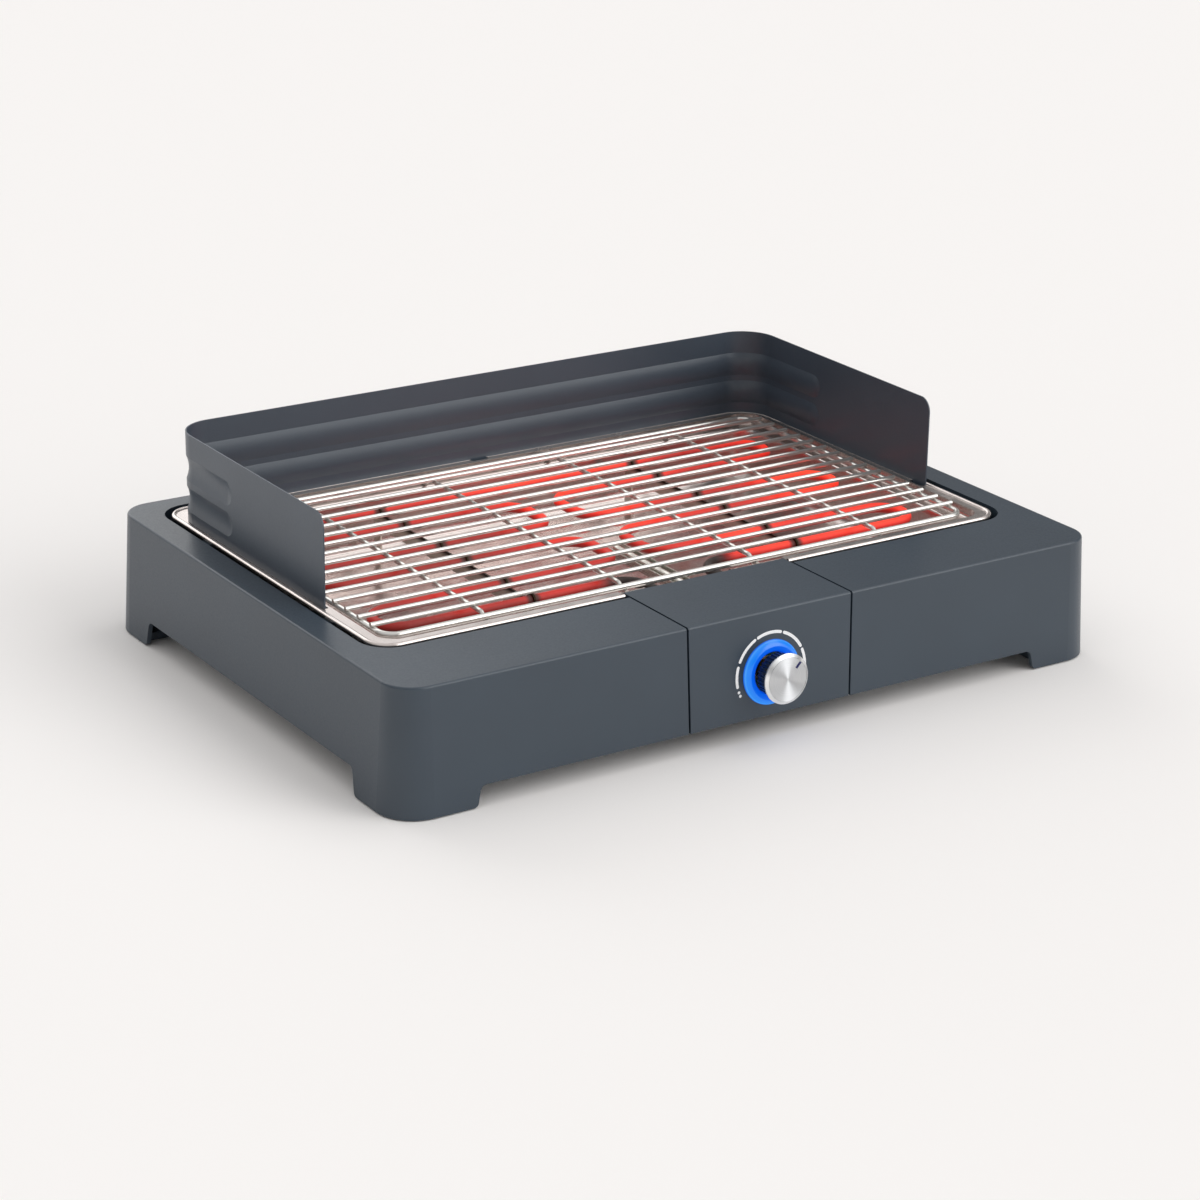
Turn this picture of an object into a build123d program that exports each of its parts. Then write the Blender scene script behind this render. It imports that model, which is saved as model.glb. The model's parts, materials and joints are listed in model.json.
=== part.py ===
from build123d import *
import math
import os

# Electric table grill. A drafted housing on four feet holds a drip tray, a control unit with its
# heating element, a wire grate and a wind shield, which all lift out upwards.
# Millimetres, with X to the right, Y to the back and Z up from the floor.

# Housing, measured at its top edge
housing_width = 500.0
housing_depth = 362.5
housing_height = 78.6
housing_draft = 3.0
housing_corner_radius = 20.0
housing_wall = 3.0
housing_edge_radius = 1.5

# Feet, the arches between them and their pads
front_foot_length = 52.0
side_foot_length = 49.5
front_arch_height = 13.4
side_arch_height = 17.5
arch_lean = 12.0
arch_crown_radius = 4.0
foot_toe_radius = 3.0
sole_length = 40.0
sole_thickness = 5.0
pad_diameter = 16.0
pad_thickness = 3.0
pad_standoff = 0.8
pad_fit = 0.1

# Tray well in the top of the housing, with the rests that carry the tray
front_rim = 59.75
back_rim = 15.65
side_rim = 18.5
well_corner_radius = 20.0
well_wall = 2.5
tray_rest_length = 10.0
tray_rest_height = 16.0
tray_rest_spacing = 157.0

# Base plate under the housing
base_plate_thickness = 1.0
base_plate_lift = 1.0
base_plate_gap = 0.8
boss_diameter = 8.0
front_boss_x = 150.0
side_boss_spacing = 230.0
vent_length = 40.0
vent_width = 4.0
vent_pitch = 12.0
vent_count = 8
vent_row_spacing = 200.0

# Self-tapping screws
screw_shank_diameter = 2.8
screw_head_diameter = 5.6
screw_head_height = 1.8
screw_length = 9.0
screw_fit = 0.05

# Drip tray, drawn from one sheet
tray_gap = 4.2
tray_sheet = 0.8
tray_rim_drop = 0.6
tray_bead_diameter = 3.2
tray_bead_sink = 0.6
tray_flange_side = 9.3
tray_flange_front = 8.5
tray_flange_back = 14.6
tray_step_drop = 6.8
tray_ledge = 9.0
tray_front_ledge = 15.0
tray_step_radius = 2.0
tray_basin_depth = 34.4
tray_basin_draft = 10.0
tray_floor_radius = 8.0
notch_gap = 2.5

# Heating element, one tube bent into six rows on each side of the middle
element_diameter = 6.5
element_below_ledge = 3.2
element_side_gap = 10.75
element_front_gap = 18.85
element_back_gap = 18.75
element_half_gap = 13.0
element_pair_spacing = 31.5
element_leg_x = 24.0
element_leg_inside = 14.5

# Support strips that hold the rows of the element
support_x = 97.0
support_sheet = 1.2
support_height = 7.0
support_eye_wall = 1.25
support_eye_fit = 0.1
support_leg_width = 8.0

# Wire grate
grate_frame_wire = 4.0
grate_bar_wire = 3.0
grate_side_play = 4.5
grate_front_play = 8.3
grate_back_play = 2.8
grate_corner_radius = 10.0
grate_bar_count = 15
grate_cross_count = 4
grate_cross_pitch = 96.0
grate_cross_tail = 2.4
grate_crank_radius = 3.0
grate_crank_run = 7.0
weld_sink = 0.5

# Wind shield, a thin sheet bent round three sides
shield_sheet = 0.8
shield_height = 58.5
shield_side_inset = 4.3
shield_back_inset = 8.6
shield_side_length = 198.6
shield_corner_radius = 24.0
shield_front_radius = 9.0
shield_bead_width = 16.0
shield_bead_depth = 1.6
shield_bead_heights = (15.2, 35.2)
shield_bead_side_run = 48.8
tongue_width = 12.0
tongue_length = 6.0
tongue_inset = 1.5
slot_play = 0.4
slot_width = 3.8

# Control unit, which drops into the slot in the front of the housing
unit_width = 117.0
unit_lean = 1.0
unit_gap = 1.4
unit_wall = 2.5
unit_back_inset = 1.0
unit_lip = 9.5
unit_floor_rise = 3.0
unit_boss_diameter = 7.0
unit_boss_gap = 2.5
shelf_width = 6.0
shelf_height = 2.5
shelf_end_gap = 5.0
moulding_fit = 0.15

# Element flange and the bushes round the legs
flange_sheet = 1.2
flange_margin = 14.0
flange_height = 19.0
flange_lip_gap = 1.0
flange_screw_margin = 4.5
bush_diameter = 10.0
bush_length = 9.0
bush_fit = 0.05
insulator_diameter = 6.0
insulator_length = 3.0
pin_diameter = 2.4
pin_length = 7.0

# Temperature sensor, its guard channel and its capillary
sensor_diameter = 5.0
sensor_below_element = 2.0
sensor_reach = 108.5
sensor_inside = 12.5
sensor_fit = 0.1
guard_width = 13.0
guard_height = 5.0
guard_sheet = 0.8
guard_overhang = 4.5
capillary_diameter = 1.6
capillary_bend = 4.0
capillary_run = 5.0

# Knob and its spindle, on an axis square to the front panel
knob_reach = 17.0
knob_cap_diameter = 31.0
knob_cap_thickness = 2.2
knob_bevel_width = 1.9
knob_bevel_height = 1.4
knob_groove_width = 0.35
knob_groove_depth = 0.3
knob_body_diameter = 26.4
knob_body_lift = 4.6
knob_hub_diameter = 15.0
knob_hub_lift = 0.6
knob_flute_count = 30
knob_flute_diameter = 1.6
pointer_angle = 45.0
pointer_width = 1.7
pointer_start = 8.4
pointer_end = 13.0
pointer_depth = 0.6
shaft_diameter = 6.0
shaft_flat = 1.4
shaft_tip = 12.0
shaft_inside = 20.0
shaft_fit = 0.05

# Light ring and light board round the spindle
ring_diameter = 40.2
ring_ridge_diameter = 33.2
ring_bore_diameter = 26.0
ring_height = 3.4
ring_edge_height = 0.6
ring_inner_height = 2.0
ring_swell = 0.5
ring_stem_diameter = 35.2
ring_stem_length = 4.0
ring_peg_diameter = 2.4
ring_peg_length = 2.4
ring_fit = 0.1
board_edge = 2.4
board_nut_gap = 0.9
board_thickness = 1.6
lamp_count = 6
lamp_length = 3.0
lamp_width = 2.0
lamp_height = 1.0

# Thermostat behind the panel
bracket_gap = 0.6
bracket_sheet = 1.2
bracket_end = 5.0
bracket_width = 20.0
bracket_boss_gap = 2.5
bracket_screw_length = 5.2
thermostat_width = 40.0
thermostat_height = 34.0
thermostat_depth = 22.0
thermostat_corner_radius = 3.0
thermostat_floor_gap = 4.35
bushing_diameter = 10.0
bushing_reach = 6.2
nut_flats = 14.0
nut_sides = 6
nut_height = 2.8

# Wiring inside the control unit
block_width = 20.0
block_depth = 13.5
block_height = 13.5
block_well_count = 3
block_well_diameter = 4.0
block_well_depth = 5.0
block_overlap = 3.0
wire_diameter = 2.4
wire_bend = 4.0
wire_block_run = 5.1
wire_side_run = 9.0
wire_row_pitch = 5.0
gland_bore_diameter = 7.2
gland_neck_diameter = 12.0
gland_flange_diameter = 16.0
gland_flange_height = 2.2
gland_side_gap = 10.25

# Shared gaps
rest_gap = 0.3
overrun = 5.0
hairline = 1e-6

# Levels and places that follow from the sizes above
slope = math.tan(math.radians(housing_draft))
unit_slope = math.tan(math.radians(unit_lean))
foot_half_width = housing_width / 2 + slope * (housing_height - pad_standoff)
foot_half_depth = housing_depth / 2 + slope * (housing_height - pad_standoff)
pilot_diameter = screw_shank_diameter + 2 * screw_fit

well_width = housing_width - 2 * side_rim
well_depth = housing_depth - front_rim - back_rim
well_y = (front_rim - back_rim) / 2
well_front = well_y - well_depth / 2

base_plate_z = side_arch_height + base_plate_lift
base_plate_top = base_plate_z + base_plate_thickness
inner_wall_foot = base_plate_top + rest_gap
side_boss_x = (housing_width / 2 - housing_wall + well_width / 2 + well_wall) / 2
front_boss_y = -(housing_depth + well_depth) / 4 + well_y / 2
boss_places = [(-front_boss_x, front_boss_y), (front_boss_x, front_boss_y)]
for boss_x in (-side_boss_x, side_boss_x):
    for boss_y in (-side_boss_spacing / 2, side_boss_spacing / 2):
        boss_places.append((boss_x, boss_y))

tray_top = housing_height - tray_rim_drop
rim_width = well_width - 2 * tray_gap
rim_depth = well_depth - 2 * tray_gap
rim_radius = well_corner_radius - tray_gap
rim_back = well_y + rim_depth / 2
bead_z = tray_top - tray_bead_sink
step_width = rim_width - 2 * tray_flange_side
step_depth = rim_depth - tray_flange_front - tray_flange_back
step_y = well_y + (tray_flange_front - tray_flange_back) / 2
step_radius = rim_radius - tray_flange_side / 2
basin_width = step_width - 2 * tray_ledge
basin_depth = step_depth - tray_ledge - tray_front_ledge
basin_y = step_y + (tray_front_ledge - tray_ledge) / 2
ledge_z = tray_top - tray_step_drop
floor_z = ledge_z - tray_basin_depth

element_z = ledge_z - element_below_ledge
element_half_span = basin_width / 2 - element_side_gap - element_diameter / 2
first_row = basin_y - basin_depth / 2 + element_front_gap + element_diameter / 2
last_row = basin_y + basin_depth / 2 - element_back_gap - element_diameter / 2
element_pair_pitch = (last_row - first_row - element_pair_spacing) / 2
element_bend = min(element_pair_spacing, element_pair_pitch - element_pair_spacing) / 2
element_bottom = element_z - element_diameter / 2

shield_half_width = rim_width / 2 - shield_side_inset
shield_back = rim_back - shield_back_inset
shield_front = shield_back - shield_side_length
shield_foot = tray_top + rest_gap
shield_top = shield_foot + shield_height

unit_back = well_front - unit_back_inset
unit_floor_z = front_arch_height + unit_floor_rise
unit_floor_top = unit_floor_z + unit_wall
unit_ceiling = housing_height - unit_wall
unit_front = -housing_depth / 2
unit_middle_y = (unit_front + unit_back) / 2
element_end_y = unit_back - element_leg_inside
flange_back = unit_back + flange_sheet

sensor_z = element_z - sensor_below_element
guard_floor = sensor_z - sensor_diameter / 2
sensor_tip_y = unit_back + sensor_reach
guard_bottom = guard_floor - guard_sheet

panel_lean = math.radians(housing_draft)
knob_height = unit_floor_top + thermostat_floor_gap + thermostat_height / 2
knob_face_y = -(housing_depth / 2 + slope * (housing_height - knob_height))
knob_plane = Plane(
    origin=(0, knob_face_y, knob_height),
    x_dir=(1, 0, 0),
    z_dir=(0, -math.cos(panel_lean), math.sin(panel_lean)),
)
board_diameter = ring_stem_diameter + 2 * board_edge
board_bore_diameter = nut_flats / math.cos(math.pi / nut_sides) + 2 * board_nut_gap
lamp_circle_radius = (board_bore_diameter + ring_bore_diameter) / 4
bracket_depth = ring_stem_length + ring_peg_length + bracket_gap
bracket_back = bracket_depth + bracket_sheet
bracket_screw_x = bracket_boss_gap + max(
    (board_diameter + unit_boss_diameter) / 2, (thermostat_width + screw_head_diameter) / 2
)
thermostat_back = bracket_back + thermostat_depth


def span_box(x_low, x_high, y_low, y_high, z_low, z_high):
    """Box between two corners."""
    box = Box(x_high - x_low, y_high - y_low, z_high - z_low, align=(Align.MIN, Align.MIN, Align.MIN))
    return Pos(x_low, y_low, z_low) * box


def post(diameter, low, high):
    """Upright cylinder between two heights."""
    return Pos(0, 0, low) * Cylinder(diameter / 2, high - low, align=(Align.CENTER, Align.CENTER, Align.MIN))


def turned(*outline):
    """Solid turned about Z from (radius, height) points."""
    return revolve(Plane.XZ * make_face(Polyline(*outline, close=True)), Axis.Z)


def group(solids):
    """Separate solids that share one node."""
    return Compound(children=list(solids))


def bent_path(points, radius):
    """Path of straight runs through the points, with a tangent arc of the radius at each corner."""
    corners = [Vector(*point) for point in points]
    edges = []
    here = corners[0]
    for before, corner, after in zip(corners, corners[1:], corners[2:]):
        back = (before - corner).normalized()
        ahead = (after - corner).normalized()
        half_angle = math.radians(back.get_angle(ahead)) / 2
        reach = radius / math.tan(half_angle)
        start = corner + back * reach
        middle = corner + (back + ahead).normalized() * (radius / math.sin(half_angle) - radius)
        end = corner + ahead * reach
        if (start - here).length > hairline:
            edges.append(Edge.make_line(here, start))
        edges.append(Edge.make_three_point_arc(start, middle, end))
        here = end
    edges.append(Edge.make_line(here, corners[-1]))
    return Wire(edges)


def rod(path, diameter):
    """Round bar along a path."""
    section = Plane(origin=path @ 0, z_dir=path % 0) * Circle(diameter / 2)
    return sweep(section, path=path)


def drafted_block(inset, low, high):
    """Block between two heights that follows the housing's drafted walls, set in from them."""
    spread = slope * (housing_height - low) - inset
    outline = RectangleRounded(
        housing_width + 2 * spread, housing_depth + 2 * spread, housing_corner_radius + spread
    )
    return Pos(0, 0, low) * extrude(outline, high - low, taper=housing_draft)


def rounded_block(width, depth, radius, middle_y, low, high):
    """Upright block with rounded corners, centred on X."""
    return Pos(0, middle_y, low) * extrude(RectangleRounded(width, depth, radius), high - low)


def unit_wedge(grow, low, high, back):
    """Wedge between the sides of the control unit, from a back face to in front of the housing."""
    low_half = unit_width / 2 + grow - unit_slope * (housing_height - low)
    high_half = unit_width / 2 + grow - unit_slope * (housing_height - high)
    outline = Polyline((-low_half, low), (low_half, low), (high_half, high), (-high_half, high), close=True)
    return Pos(0, back, 0) * extrude(Plane.XZ * make_face(outline), housing_depth)


def arch_face(toe_half_span, height):
    """Outline of the gap between two feet: leaning sides, rounded crown corners and flared toes."""
    lean = (height - pad_standoff) * math.tan(math.radians(arch_lean))
    crown_half_span = toe_half_span - lean
    reach = toe_half_span + 2 * foot_toe_radius
    outline = Polyline(
        (-reach, -overrun), (reach, -overrun), (reach, pad_standoff), (toe_half_span, pad_standoff),
        (crown_half_span, height), (-crown_half_span, height),
        (-toe_half_span, pad_standoff), (-reach, pad_standoff), close=True,
    )
    face = make_face(outline)
    crowns = [corner for corner in face.vertices() if corner.Y > height - hairline]
    face = fillet(crowns, arch_crown_radius)
    toes = [
        corner for corner in face.vertices()
        if abs(corner.Y - pad_standoff) < hairline and abs(corner.X) < reach - hairline
    ]
    return fillet(toes, foot_toe_radius)


def pad_places():
    """Middle of each foot pad."""
    inset = housing_wall + sole_length / 2
    x = foot_half_width - inset
    y = foot_half_depth - inset
    return [(side * x, end * y) for side in (-1, 1) for end in (-1, 1)]


def screw(length):
    """Pan head screw that points up, with its head's seat at zero."""
    return post(screw_head_diameter, -screw_head_height, 0) + post(screw_shank_diameter, 0, length)


# Housing
def housing_shell():
    shell = drafted_block(0, pad_standoff, housing_height)
    shell = fillet(shell.faces().sort_by(Axis.Z)[-1].edges(), housing_edge_radius)
    shell -= drafted_block(housing_wall, pad_standoff - overrun, housing_height - housing_wall)

    # Walls of the well and cheeks of the slot hang from the top
    wall_top = housing_height - housing_wall / 2
    walls = rounded_block(
        well_width + 2 * well_wall, well_depth + 2 * well_wall, well_corner_radius + well_wall,
        well_y, inner_wall_foot, wall_top,
    )
    shelf_top = unit_floor_z - rest_gap
    shelf_low = shelf_top - shelf_height
    walls += unit_wedge(unit_gap + well_wall, shelf_low, wall_top, well_front)
    shell += walls & drafted_block(housing_wall / 2, shelf_low, wall_top)
    for x, y in boss_places:
        shell += Pos(x, y) * post(boss_diameter, base_plate_top, wall_top)
    for x, y in boss_places:
        shell -= Pos(x, y) * post(pilot_diameter, base_plate_top - overrun, base_plate_z + screw_length)

    # The well and the slot are open from above
    shell -= rounded_block(
        well_width, well_depth, well_corner_radius, well_y, shelf_low - overrun, housing_height + overrun
    )
    shell -= unit_wedge(unit_gap, -overrun, housing_height + overrun, well_front + overrun)

    # Rests under the tray's bead, and shelves under the control unit
    rest_top = bead_z - tray_bead_diameter / 2 - rest_gap
    rest_reach = tray_gap + tray_bead_diameter
    for side in (-1, 1):
        for end in (-1, 1):
            x_inner = side * (well_width / 2 - rest_reach)
            x_outer = side * (well_width / 2 + well_wall / 2)
            y = well_y + end * tray_rest_spacing / 2
            shell += span_box(
                min(x_inner, x_outer), max(x_inner, x_outer),
                y - tray_rest_length / 2, y + tray_rest_length / 2,
                rest_top - tray_rest_height, rest_top,
            )
    shelf = unit_wedge(unit_gap + well_wall / 2, shelf_low, shelf_top, unit_back - shelf_end_gap)
    shelf -= unit_wedge(-shelf_width, shelf_low - overrun, shelf_top + overrun, unit_back)
    shell += shelf & drafted_block(housing_wall + shelf_end_gap, shelf_low, shelf_top)

    # Soles close the feet, with a pocket for each pad
    sole_block = drafted_block(housing_wall / 2, pad_standoff, pad_standoff + sole_thickness)
    sole_reach = sole_length / 2 + housing_wall
    for x, y in pad_places():
        inner_x = x - math.copysign(sole_length / 2, x)
        inner_y = y - math.copysign(sole_length / 2, y)
        outer_x = x + math.copysign(sole_reach, x)
        outer_y = y + math.copysign(sole_reach, y)
        shell += sole_block & span_box(
            min(inner_x, outer_x), max(inner_x, outer_x), min(inner_y, outer_y), max(inner_y, outer_y),
            pad_standoff, pad_standoff + sole_thickness,
        )
        shell -= Pos(x, y) * post(pad_diameter + 2 * pad_fit, -overrun, pad_thickness)

    # Arches between the feet
    front_arch = arch_face(foot_half_width - front_foot_length, front_arch_height)
    shell -= extrude(Plane.XZ * front_arch, housing_depth, both=True)
    side_arch = arch_face(foot_half_depth - side_foot_length, side_arch_height)
    shell -= extrude(Plane.YZ * side_arch, housing_width, both=True)
    return shell


def base_plate():
    plate = drafted_block(housing_wall + base_plate_gap, base_plate_z, base_plate_top)
    plate -= unit_wedge(
        unit_gap + well_wall + base_plate_gap, -overrun, housing_height, well_front + base_plate_gap
    )
    for x, y in boss_places:
        plate -= Pos(x, y) * post(pilot_diameter, -overrun, housing_height)
    for row in (-1, 1):
        for vent in range(vent_count):
            x = (vent - (vent_count - 1) / 2) * vent_pitch + row * vent_row_spacing / 2
            slot = Pos(x, well_y, base_plate_z) * extrude(
                SlotOverall(vent_length, vent_width, rotation=90), base_plate_thickness
            )
            plate -= slot
    return plate


def base_screws():
    return group(Pos(x, y, base_plate_z) * screw(screw_length) for x, y in boss_places)


def foot_pads():
    return group(Pos(x, y) * post(pad_diameter, 0, pad_thickness) for x, y in pad_places())


# Drip tray
def tray_volume(grow):
    """What the tray holds, grown by the sheet for its outside."""
    floor = floor_z - grow
    ledge = ledge_z - grow
    shrink = 2 * (ledge - floor) * math.tan(math.radians(tray_basin_draft))
    basin_radius = step_radius + grow
    floor_outline = RectangleRounded(
        basin_width + 2 * grow - shrink, basin_depth + 2 * grow - shrink, basin_radius
    )
    volume = Pos(0, basin_y, floor) * extrude(floor_outline, ledge - floor, taper=-tray_basin_draft)
    volume = fillet(volume.faces().sort_by(Axis.Z)[0].edges(), tray_floor_radius + grow)
    step = rounded_block(
        step_width + 2 * grow, step_depth + 2 * grow, step_radius + grow, step_y, ledge, tray_top
    )
    volume += fillet(step.faces().sort_by(Axis.Z)[0].edges(), tray_step_radius + grow)
    reach = basin_width / 2 + grow + hairline
    ledge_edges = [
        edge for edge in volume.edges()
        if abs(edge.center().Z - ledge) < hairline and edge.bounding_box().max.X - reach < 0
        and edge.bounding_box().min.X + reach > 0
    ]
    return fillet(ledge_edges, tray_step_radius - grow)


def drip_tray():
    tray = tray_volume(tray_sheet)
    bead_inset = tray_bead_diameter / 2
    tray += rounded_block(
        rim_width - 2 * bead_inset, rim_depth - 2 * bead_inset, rim_radius - bead_inset,
        well_y, tray_top - tray_sheet, tray_top,
    )
    half_width = rim_width / 2 - bead_inset
    front = well_y - rim_depth / 2 + bead_inset
    back = rim_back - bead_inset
    bead_points = [
        (0, front, bead_z), (-half_width, front, bead_z), (-half_width, back, bead_z), (0, back, bead_z),
    ]
    for side in (-1, 1):
        half_path = bent_path([(-side * x, y, z) for x, y, z in bead_points], rim_radius - bead_inset)
        tray += rod(half_path, tray_bead_diameter)
    tray -= tray_volume(0)

    # The rim is cut away under the control unit's lip, and deeper where the element's legs pass
    notch_half = unit_width / 2 + unit_gap
    step_front = step_y - step_depth / 2
    tray -= span_box(
        -notch_half, notch_half, well_front, step_front + hairline, ledge_z, housing_height + overrun
    )
    leg_half = element_leg_x + bush_diameter / 2 + notch_gap
    leg_notch_back = step_front + 2 * tray_front_ledge
    tray -= span_box(
        -leg_half, leg_half, well_front, leg_notch_back, guard_bottom - notch_gap, housing_height
    )

    # Slots for the wind shield's tongues
    for slot in tongue_slots():
        tray -= slot
    return tray


def tongue_places():
    """Middle of each tongue and the turn that brings its outer side to face out of the grill."""
    side_y = shield_front + tongue_inset + tongue_width / 2
    return [
        Pos(-shield_half_width, side_y, shield_foot) * Rot(0, 0, 90),
        Pos(0, shield_back, shield_foot),
        Pos(shield_half_width, side_y, shield_foot) * Rot(0, 0, -90),
    ]


def tongue_slots():
    half_length = tongue_width / 2 + slot_play
    cut = span_box(-half_length, half_length, slot_play - slot_width, slot_play, -tray_step_drop, overrun)
    return [place * cut for place in tongue_places()]


# Heating element and its supports
def element_rows():
    """Middle line of each row of the element, front row first."""
    rows = []
    for pair in range(3):
        near = first_row + pair * element_pair_pitch
        rows.extend([near, near + element_pair_spacing])
    return rows


def heating_element():
    rows = element_rows()
    half = [(element_leg_x, element_end_y), (element_leg_x, rows[0])]
    ends = [element_half_span, element_half_gap]
    for number, row in enumerate(rows):
        turn = ends[number % 2]
        if number > 0:
            half.append((ends[(number + 1) % 2], row))
        half.append((turn, row))
    half[-1] = (0, rows[-1])
    right = [(x, y, element_z) for x, y in half]
    left = [(-x, y, element_z) for x, y in half]
    path = bent_path(right[:-1] + left[-2::-1], element_bend)
    return rod(path, element_diameter)


def element_supports():
    rows = element_rows()
    eye_radius = element_diameter / 2 + support_eye_fit + support_eye_wall
    low = rows[0] - eye_radius
    high = rows[-1] + eye_radius
    strip_top = element_z
    strip_low = element_bottom - support_height
    foot = floor_z + rest_gap
    face = Pos((low + high) / 2, (strip_low + strip_top) / 2) * Rectangle(high - low, strip_top - strip_low)
    for leg in (low + support_leg_width / 2, high - support_leg_width / 2):
        face += Pos(leg, (foot + strip_low) / 2) * Rectangle(support_leg_width, strip_low - foot)
    for row in rows:
        face += Pos(row, element_z) * Circle(eye_radius)
    for row in rows:
        face -= Pos(row, element_z) * Circle(element_diameter / 2 + support_eye_fit)
    strip = extrude(Plane.YZ * face, support_sheet / 2, both=True)
    return group(Pos(x, 0, 0) * strip for x in (-support_x, support_x))


# Grate
grate_half_width = step_width / 2 - grate_side_play - grate_frame_wire / 2
grate_front = step_y - step_depth / 2 + grate_front_play + grate_frame_wire / 2
grate_back = step_y + step_depth / 2 - grate_back_play - grate_frame_wire / 2
crank_z = ledge_z + rest_gap + grate_bar_wire / 2
frame_z = crank_z + (grate_bar_wire + grate_frame_wire) / 2 - weld_sink
bar_z = frame_z + (grate_bar_wire + grate_frame_wire) / 2 - weld_sink
cross_z = bar_z - grate_bar_wire + weld_sink


def grate_frame():
    points = [
        (0, grate_front, frame_z), (grate_half_width, grate_front, frame_z),
        (grate_half_width, grate_back, frame_z), (0, grate_back, frame_z),
    ]
    right = rod(bent_path(points, grate_corner_radius), grate_frame_wire)
    return right + mirror(right, Plane.YZ)


def grate_bars():
    pitch = (grate_back - grate_front) / (grate_bar_count + 1)
    length = 2 * grate_half_width + grate_frame_wire
    bar = Rot(0, 90, 0) * Cylinder(grate_bar_wire / 2, length)
    return group(Pos(0, grate_front + (row + 1) * pitch, bar_z) * bar for row in range(grate_bar_count))


def grate_cross_wires():
    tail = grate_cross_tail
    points = [
        (0, grate_front - tail, crank_z), (0, grate_front + tail, crank_z),
        (0, grate_front + grate_crank_run, cross_z), (0, grate_back - grate_crank_run, cross_z),
        (0, grate_back - tail, crank_z), (0, grate_back + tail, crank_z),
    ]
    wire = rod(bent_path(points, grate_crank_radius), grate_bar_wire)
    first_x = -(grate_cross_count - 1) / 2 * grate_cross_pitch
    return group(Pos(first_x + number * grate_cross_pitch) * wire for number in range(grate_cross_count))


# Wind shield
def shield_plan(inset, low, high):
    """Block with the plan of the shield, set in from its outer face and open past its front."""
    depth = shield_side_length + 2 * shield_corner_radius
    plan = RectangleRounded(2 * (shield_half_width - inset), depth - 2 * inset, shield_corner_radius - inset)
    block = Pos(0, shield_back - depth / 2, low) * extrude(plan, high - low)
    room = span_box(-shield_half_width, shield_half_width, shield_front, shield_back, low, high)
    return block & room


def shield_bead_tube(height, radius, centre_offset):
    """Tube round the outside of the shield with ball ends, whose inner side forms a pressed bead."""
    half_width = shield_half_width + centre_offset
    back = shield_back + centre_offset
    end_y = shield_back - shield_corner_radius - shield_bead_side_run
    corners = [(-half_width, end_y), (-half_width, back), (half_width, back), (half_width, end_y)]
    z = shield_foot + height
    path = bent_path([(x, y, z) for x, y in corners], shield_corner_radius + centre_offset)
    tube = rod(path, 2 * radius)
    for x in (-half_width, half_width):
        tube += Pos(x, end_y, z) * Sphere(radius)
    return tube


def wind_shield():
    core = shield_plan(0, shield_foot, shield_top)
    sheet = core - shield_plan(shield_sheet, shield_foot - overrun, shield_top + overrun)
    front_tops = [
        edge for edge in sheet.edges().filter_by(Axis.X)
        if edge.center().Z > shield_top - hairline and edge.center().Y < shield_front + hairline
    ]
    sheet = fillet(front_tops, shield_front_radius)
    outer_radius = (shield_bead_width ** 2 / 4 + shield_bead_depth ** 2) / (2 * shield_bead_depth)
    centre_offset = outer_radius - shield_bead_depth - shield_sheet
    for height in shield_bead_heights:
        sheet += shield_bead_tube(height, outer_radius, centre_offset) & core
        sheet -= shield_bead_tube(height, outer_radius - shield_sheet, centre_offset)
    tongue = span_box(-tongue_width / 2, tongue_width / 2, -shield_sheet, 0, -tongue_length, shield_sheet)
    for place in tongue_places():
        sheet += place * tongue
    return sheet


# Control unit: case
def unit_boss_places():
    inset = unit_wall + shelf_width + unit_boss_gap
    x = unit_width / 2 - inset
    front = unit_front + inset
    back = unit_back - inset
    return [(side * x, y) for side in (-1, 1) for y in (front, back)]


def bracket_boss_places():
    return [(-bracket_screw_x, 0), (bracket_screw_x, 0)]


def control_cover():
    case = drafted_block(0, front_arch_height, housing_height)
    case &= unit_wedge(0, front_arch_height, housing_height, unit_back)
    lid = drafted_block(0, unit_ceiling, housing_height)
    case += lid & unit_wedge(0, unit_ceiling, housing_height, unit_back + unit_lip)
    top_front = case.faces().sort_by(Axis.Z)[-1].edges().sort_by(Axis.Y)[0]
    case = fillet(top_front, housing_edge_radius)
    hollow = drafted_block(unit_wall, front_arch_height - overrun, unit_ceiling)
    case -= hollow & unit_wedge(-unit_wall, front_arch_height - overrun, unit_ceiling, unit_back + overrun)
    case -= drafted_block(unit_wall, front_arch_height - overrun, unit_floor_z)

    # Bosses for the case screws and for the thermostat bracket
    for x, y in unit_boss_places():
        case += Pos(x, y) * post(unit_boss_diameter, unit_floor_top, unit_ceiling + unit_wall / 2)
        case -= Pos(x, y) * post(pilot_diameter, unit_floor_top, unit_floor_z + screw_length)
    for x, y in bracket_boss_places():
        case += knob_plane * Pos(x, y) * post(unit_boss_diameter, -bracket_depth, -unit_wall / 2)
        pilot = post(pilot_diameter, -bracket_depth, bracket_screw_length - bracket_back)
        case -= knob_plane * Pos(x, y) * pilot
    case -= knob_plane * post(ring_stem_diameter + 2 * ring_fit, -bracket_depth, overrun)
    return case


def control_base():
    grow = -unit_wall - moulding_fit
    floor = drafted_block(unit_wall + moulding_fit, unit_floor_z, unit_floor_top)
    base = floor & unit_wedge(grow, unit_floor_z, unit_floor_top, unit_back)
    back = unit_wedge(grow, unit_floor_z, unit_ceiling - moulding_fit, unit_back)
    base += back & span_box(
        -unit_width, unit_width, unit_back - unit_wall, unit_back, unit_floor_z, unit_ceiling
    )
    for x, y in unit_boss_places():
        base -= Pos(x, y) * post(pilot_diameter, unit_floor_z, unit_floor_top)
    base -= Pos(gland_x, unit_middle_y) * post(gland_neck_diameter, unit_floor_z, unit_floor_top)
    for opening in flange_openings():
        base -= opening
    return base


def control_screws():
    return group(Pos(x, y, unit_floor_z) * screw(screw_length) for x, y in unit_boss_places())


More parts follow.
